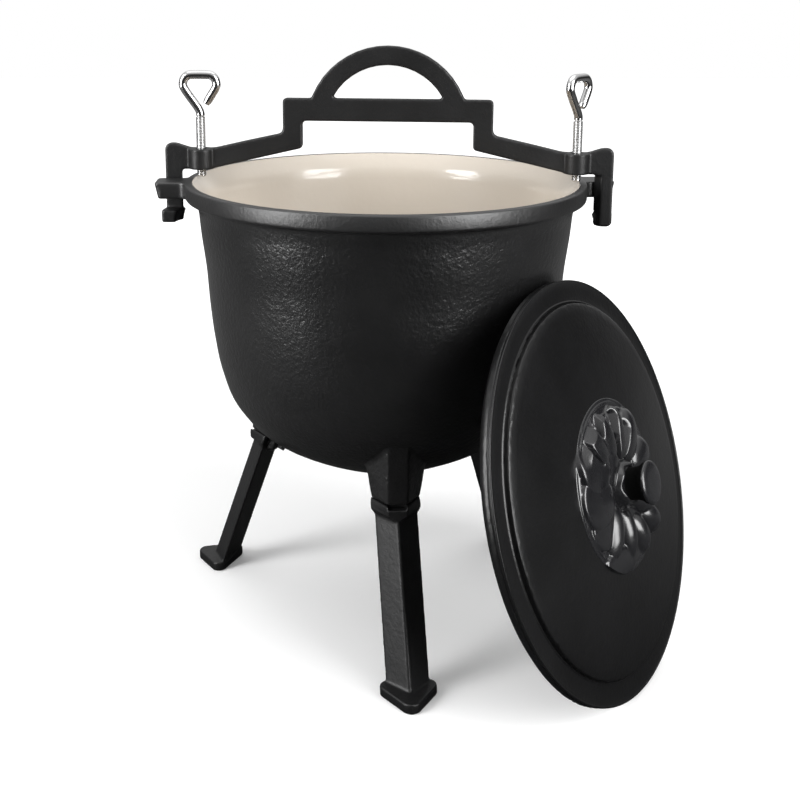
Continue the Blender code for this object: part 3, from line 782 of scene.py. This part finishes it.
rim_knots = [
    (RIM_RADIUS, RIM_TOP - 0.0098),
    (RIM_RADIUS - 0.0002, RIM_TOP - 0.0116),
    (RIM_RADIUS - 0.0013, RIM_TOP - 0.0129),
    (RIM_RADIUS - 0.0036, RIM_TOP - 0.0136),
    (RIM_RADIUS - 0.0066, RIM_TOP - 0.0141),
    (RIM_RADIUS - 0.0088, RIM_TOP - 0.0155),
    (RIM_RADIUS - 0.0099, RIM_TOP - 0.0180),
]
iron_path = [(0.1588, RIM_TOP), (RIM_RADIUS - 0.0014, RIM_TOP), (RIM_RADIUS - 0.0004, RIM_TOP - 0.0004)]
iron_path += [(RIM_RADIUS, RIM_TOP - 0.0014)] + smooth_path(rim_knots, 3)
iron_path += wall_path[4:-1] + [(0.0, BOTTOM_LOW)]
back_up = flare(GLAZE) + inset(WALL - GLAZE)
iron_shell = turned("pot_casting", iron_path + back_up[::-1] + iron_path[:1], 224)
finished(welded(iron_shell), "pot", "black_cast", pot_black, 50.0, ("pot_body",))

lip = [(0.1592, RIM_TOP + 0.00004), (0.1588, RIM_TOP - 0.0001), (0.1586, RIM_TOP - 0.0005)]
glaze_path = lip + flare(0.0) + inset(WALL)
glaze_back = flare(GLAZE) + inset(WALL - GLAZE)
lining = turned("enamel_lining", glaze_path + glaze_back[::-1] + lip[:1], 192)
finished(welded(lining), "pot", "cream_enamel", cream_glaze, 60.0)

# %% [markdown]
# ## Bosses and lugs
# Three bosses under the bowl take the legs, and two lugs on the rim take the hooks. Each is cut out of the
# CAD solid with some of the wall around it, softened, and sunk a tenth of a millimetre into the turned
# wall. Only what stands proud then shows, with the fillet that the smoothing gave it.

# %% Bosses and lugs
SINK = 0.00010
BOSS_BOX = (-0.036, -0.150, 0.116), (0.036, -0.084, 0.214)
BOSS_AZIMUTHS = {"front": 1.6, "left": -115.6, "right": 127.0}
BOSS_CORE_DEPTH = 0.0028
LUG_BOX = (-0.034, -0.200, 0.354), (0.034, -0.150, 0.380)
LUG_AZIMUTHS = {"left": 270.0, "right": 90.0}
OUTGROWTH_EDGES = 0.35


def box_object(name, low, high):
    points = [(x, y, z) for x in (low[0], high[0]) for y in (low[1], high[1]) for z in (low[2], high[2])]
    faces = [(0, 1, 3, 2), (4, 6, 7, 5), (0, 4, 5, 1), (2, 3, 7, 6), (0, 2, 6, 4), (1, 5, 7, 3)]
    return mesh_object(name, points, faces)


def combined(obj, others):
    """The object cut by the others in turn: each is (operation, object)."""
    for operation, other in others:
        step = obj.modifiers.new(other.name, "BOOLEAN")
        step.operation = operation
        step.solver = "EXACT"
        step.object = other
    obj = plain(obj)
    for _, other in others:
        bpy.data.objects.remove(other, do_unlink=True)
    return welded(obj)


def outgrowth(name, box, azimuth, core_path, voxel, rounds):
    """What grows out of the turned wall inside a box, at an azimuth that counts from the front."""
    region = box_object("region", *box)
    region.data.transform(turn(azimuth, "Z"))
    core = welded(turned("core", core_path, 112))
    obj = combined(copy_of("pot_body", name), [("INTERSECT", region), ("DIFFERENCE", core)])
    obj = softened(obj, voxel, rounds, OUTGROWTH_EDGES)
    points = coordinates(obj.data)
    normals = np.empty(len(points) * 3)
    obj.data.vertices.foreach_get("normal", normals)
    obj.data.vertices.foreach_set("co", (points - SINK * normals.reshape(-1, 3)).ravel())
    return finished(obj, "pot", "black_cast", pot_black, 80.0)


bowl_core = [(0.0, 0.30), (0.1475, 0.30)] + [point for point in inset(BOSS_CORE_DEPTH) if point[1] < 0.295]
for side, azimuth in BOSS_AZIMUTHS.items():
    outgrowth("boss_" + side, BOSS_BOX, azimuth, bowl_core, 0.0010, 48)
rim_core = [(0.0, 0.40), (0.1615, 0.40), (0.1615, 0.30), (0.0, 0.30)]
for side, azimuth in LUG_AZIMUTHS.items():
    outgrowth("lug_" + side, LUG_BOX, azimuth, rim_core, 0.0008, 6)

# %% [markdown]
# ## Screw threads
# The screws are M8, with a thread that climbs 1.25 mm a turn. A thread is a rule: the radius rises and falls
# with the height and the angle together. So Geometry Nodes take a flat grid, bend it round into a tube, and
# let that rule set its radius. The first and last rows are drawn in to the axis, which closes the ends.

# %% Thread nodes
THREAD_SIDES = 24
END_SHARE = 0.004
CLOSED_FROM = 0.4985
TIP_TAPER = 0.0012
CREST = 1.25


def thread_nodes():
    group = bpy.data.node_groups.new("threaded_rod", "GeometryNodeTree")
    group.interface.new_socket("Geometry", in_out="OUTPUT", socket_type="NodeSocketGeometry")
    for name, kind in (
        ("Length", "NodeSocketFloat"),
        ("Radius", "NodeSocketFloat"),
        ("Depth", "NodeSocketFloat"),
        ("Pitch", "NodeSocketFloat"),
        ("Rows", "NodeSocketInt"),
        ("Material", "NodeSocketMaterial"),
    ):
        group.interface.new_socket(name, in_out="INPUT", socket_type=kind)
    tree = Tree(group)
    given = tree.node("NodeGroupInput")
    size = {"Size X": 1.0, "Size Y": 1.0, "Vertices X": THREAD_SIDES + 1, "Vertices Y": given["Rows"]}
    grid = tree.node("GeometryNodeMeshGrid", {}, size)
    place = tree.node("ShaderNodeSeparateXYZ", {}, {0: tree.node("GeometryNodeInputPosition")["Position"]})
    u = place["X"] + 0.5
    v = (place["Y"] + 0.5) * (1.0 + 2.0 * END_SHARE) - END_SHARE
    along = v.maths("MINIMUM", v.maths("MAXIMUM", v, 0.0), 1.0) * given["Length"]
    end = abs(place["Y"]).maths("LESS_THAN", abs(place["Y"]), CLOSED_FROM)
    wave = u.maths("PINGPONG", along / given["Pitch"] - u, 0.5) * 2.0
    ridge = wave.maths("MINIMUM", wave * CREST, 1.0)
    full = given["Radius"] - given["Depth"] * (1.0 - ridge)
    radius = full.maths("MINIMUM", full, given["Radius"] - TIP_TAPER + along) * end
    angle = u * math.tau
    spots = {"X": radius * u.maths("COSINE", angle), "Y": radius * u.maths("SINE", angle), "Z": along}
    spot = tree.node("ShaderNodeCombineXYZ", {}, spots)
    bent = tree.node("GeometryNodeSetPosition", {}, {"Geometry": grid["Mesh"], "Position": spot["Vector"]})
    closed = tree.node("GeometryNodeMergeByDistance", {}, {"Geometry": bent["Geometry"], "Distance": WELD_DISTANCE})
    real = tree.node("GeometryNodeRealizeInstances", {}, {"Geometry": closed["Geometry"]})
    paint = {"Geometry": real["Geometry"], "Material": given["Material"]}
    painted = tree.node("GeometryNodeSetMaterial", {}, paint)
    out = tree.node("NodeGroupOutput")
    tree.feed(out.node.inputs["Geometry"], painted["Geometry"])
    return group


thread_group = thread_nodes()
print("thread nodes:", len(thread_group.nodes))


def threaded_rod(name, length, radius, depth, pitch, rows_a_turn, material):
    obj = mesh_object(name, [(0, 0, 0)], [])
    modifier = obj.modifiers.new("thread", "NODES")
    modifier.node_group = thread_group
    values = {"Length": length, "Radius": radius, "Depth": depth, "Pitch": pitch}
    values.update({"Rows": int(length / pitch * rows_a_turn), "Material": material})
    for item in thread_group.interface.items_tree:
        if item.in_out == "INPUT":
            modifier[item.identifier] = values[item.name]
    return welded(plain(obj))


# %% [markdown]
# ## Eye screws
# Each screw is one rod, threaded below and bent above into a loose eye. The eye is swept along a soft curve
# through the rod's middle line. Its free end is cut square and a little rounded, as a bending jig leaves it.

# %% Eye screws
BAR_PLACE = turn(-6.4, "Z") @ Matrix.Translation((0.0012, 0.0, 0.0))
SCREW_AT = 0.1553
ROD_LENGTH = 0.0494
ROD_RADIUS = 0.0040
THREAD_DEPTH = 0.00045
THREAD_PITCH = 0.00125
ROWS_A_TURN = 8
TIP_GAP = 0.0003
WIRE_RADIUS = 0.00355
WIRE_START = 0.0030
WIRE_END = (0.00335, 0.0026)
EYE_TURN = {"left": 4.0, "right": 53.0}
EYE_PATH = (
    (0.0, 0.0503),
    (0.0, 0.0530),
    (-0.0012, 0.0562),
    (-0.0040, 0.0605),
    (-0.0088, 0.0672),
    (-0.0127, 0.0732),
    (-0.0138, 0.0768),
    (-0.0129, 0.0806),
    (-0.0104, 0.0834),
    (-0.0066, 0.0845),
    (0.0066, 0.0845),
    (0.0104, 0.0834),
    (0.0129, 0.0806),
    (0.0138, 0.0768),
    (0.0127, 0.0732),
    (0.0092, 0.0675),
    (0.0048, 0.0606),
)


def swept_rod(name, path, radii, sides=20):
    """A closed tube along a path in XZ, with a radius for each of its points."""
    points = []
    for i, (x, z) in enumerate(path):
        before = Vector(path[max(i - 1, 0)])
        after = Vector(path[min(i + 1, len(path) - 1)])
        run = (after - before).normalized()
        for step in range(sides):
            angle = math.tau * step / sides
            out = radii[i] * math.cos(angle)
            points.append((x - run.y * out, radii[i] * math.sin(angle), z + run.x * out))
    faces = []
    for i in range(len(path) - 1):
        for step in range(sides):
            after = (step + 1) % sides
            row, up = i * sides, (i + 1) * sides
            faces.append((row + step, row + after, up + after, up + step))
    faces.append(tuple(range(sides)))
    faces.append(tuple((len(path) - 1) * sides + step for step in range(sides)))
    return mesh_object(name, points, faces)


for side, sign in (("left", -1.0), ("right", 1.0)):
    here = BAR_PLACE @ Matrix.Translation((sign * SCREW_AT, 0.0, RIM_TOP))
    thread = (ROD_LENGTH, ROD_RADIUS, THREAD_DEPTH, THREAD_PITCH, ROWS_A_TURN)
    rod = threaded_rod("screw_thread_" + side, *thread, zinc_bright)
    rod.data.transform(here @ Matrix.Translation((0.0, 0.0, TIP_GAP)))
    finished(rod, "screw_" + side, "zinc_steel", zinc_bright, 50.0, ("eye_screw_shank_" + side,))
    middle = smooth_path(EYE_PATH, 4)
    radii = [WIRE_START] + [WIRE_RADIUS] * (len(middle) - 3) + list(WIRE_END)
    eye = swept_rod("screw_eye_" + side, middle, radii)
    eye.data.transform(here @ turn(EYE_TURN[side], "Z"))
    finished(welded(eye), "eye_" + side, "zinc_steel", zinc_bright, 50.0, ("eye_screw_eye_" + side,))

# %% [markdown]
# ## Leg bolts
# The bolts are plain black hexagon bolts. A bevel takes the sharpness off the CAD solid's edges.

# %% Leg bolts
BOLT_BEVEL = 0.0004
BEVEL_FROM = 35.0
for side in ("front", "left", "right"):
    bolt = copy_of("leg_bolt_" + side, "leg_bolt_head_" + side)
    edges = bolt.modifiers.new("edges", "BEVEL")
    edges.width = BOLT_BEVEL
    edges.segments = 2
    edges.limit_method = "ANGLE"
    edges.angle_limit = math.radians(BEVEL_FROM)
    finished(plain(bolt), "pot", "black_bolt", bolt_black, BEVEL_FROM, ("leg_bolt_" + side,))

# %% [markdown]
# ## The floor
# The floor is white and matt, and takes the pot's soft shadow. For the camera it glows a little more with
# distance, so that it ends in the white of the background. What glossy surfaces mirror of it is a painted
# reflection: there its colour is nearly black in front and grey at the sides and back, painted shade and light.

# %% Floor
FLOOR_REACH = 6.0
FLOOR_WHITE = (0.90, 0.90, 0.90)
# colours of the painted reflection: the floor as glossy surfaces mirror it, dark in front and grey at the sides
PAINTED_REFLECTION_DARK = (0.004, 0.004, 0.004)
PAINTED_REFLECTION_GREY = (0.24, 0.24, 0.24)
PAINTED_REFLECTION_MIDDLE = 0.12


def floor_material():
    finish = Finish("pale_floor", FLOOR_WHITE, roughness=0.9, specular_ior_level=0.1)
    rays = finish.node("ShaderNodeLightPath")
    spot = finish.node("ShaderNodeSeparateXYZ", {}, {0: finish.place})
    back = finish.rising(spot["Y"], -0.70, 0.80)
    aside = finish.rising(abs(spot["X"] - PAINTED_REFLECTION_MIDDLE), 0.05, 0.50)
    # painted reflection: for glossy rays the floor's colour is dark in front and grey towards the sides and back
    painted_reflection = finish.mixed(back * (0.10 + 0.90 * aside), PAINTED_REFLECTION_DARK, PAINTED_REFLECTION_GREY)
    finish.into(base_color=finish.mixed(rays["Is Glossy Ray"], FLOOR_WHITE, painted_reflection))
    reach = finish.node("ShaderNodeVectorMath", {"operation": "LENGTH"}, {0: finish.place})["Value"]
    glow = rays["Is Camera Ray"] * (0.12 + 0.75 * finish.rising(reach, 0.35, 1.6))
    finish.into(emission_color=finish.mixed(glow, (0.0, 0.0, 0.0), (1.0, 1.0, 1.0)))
    finish.shader.inputs["Emission Strength"].default_value = 1.0
    return finish.material


corners = [(-FLOOR_REACH, -FLOOR_REACH), (FLOOR_REACH, -FLOOR_REACH), (FLOOR_REACH, FLOOR_REACH)]
corners.append((-FLOOR_REACH, FLOOR_REACH))
floor = mesh_object("floor", [(x, y, 0.0) for x, y in corners], [(0, 1, 2, 3)])
floor.data.materials.append(floor_material())
print("floor:", 2 * FLOOR_REACH, "m square")

# %% [markdown]
# ## The light
# Broad lamps on both sides draw long highlights down the black iron, as soft boxes do in a studio, and one
# above fills the inside. The world is plain for the light that falls on things. Only what glossy surfaces
# mirror changes with direction: brighter behind and above, where the lid's edge and top look, and dim at
# the front and the left.

# %% Lamps and world


def lamp(name, spot, aim, size, power):
    data = bpy.data.lights.new(name, "AREA")
    data.shape = "RECTANGLE"
    data.size, data.size_y = size
    data.energy = power
    obj = bpy.data.objects.new(name, data)
    run = Vector(aim) - Vector(spot)
    obj.matrix_world = Matrix.Translation(spot) @ run.to_track_quat("-Z", "Y").to_matrix().to_4x4()
    bpy.context.scene.collection.objects.link(obj)
    print(name, "watts", power)


lamp("lamp_left", spot=(-1.36, -0.72, 0.72), aim=(0.0, 0.0, 0.25), size=(0.60, 1.4), power=31.0)
lamp("lamp_right", spot=(1.10, -1.15, 0.80), aim=(0.0, 0.0, 0.25), size=(0.80, 1.3), power=35.0)
lamp("lamp_top", spot=(0.0, 0.2, 2.0), aim=(0.0, 0.0, 0.2), size=(2.0, 2.0), power=13.0)

PLAIN_STRENGTH = 0.40
world = bpy.data.worlds.new("studio")
bpy.context.scene.world = world
world.use_nodes = True
sky = Tree(world.node_tree)
background = sky.nodes["Background"]
background.inputs["Color"].default_value = (1.0, 1.0, 1.0, 1.0)
rays = sky.node("ShaderNodeLightPath")
way = sky.node("ShaderNodeSeparateXYZ", {}, {0: sky.node("ShaderNodeTexCoord")["Generated"]})
front = 0.07 * sky.rising(way["Y"], -0.60, -0.97)
left_side = 0.19 * sky.rising(way["X"], -0.25, -0.80)
behind = (0.28 + 0.28 * sky.rising(way["X"], 0.0, 0.35)) * sky.rising(way["Y"], 0.60, 0.82)
above = 0.75 * sky.rising(way["Z"], 0.28, 0.60)
mirrored = rays["Is Glossy Ray"] * (0.03 + front + left_side + behind + above)
seen = rays["Is Camera Ray"].maths("MAXIMUM", rays["Is Camera Ray"], rays["Is Transmission Ray"])
falling = PLAIN_STRENGTH * (1.0 - rays["Is Glossy Ray"]) * (1.0 - seen)
sky.feed(background.inputs["Strength"], seen + mirrored + falling)
bpy.context.scene.view_settings.view_transform = "Standard"
print("world nodes:", len(world.node_tree.nodes))
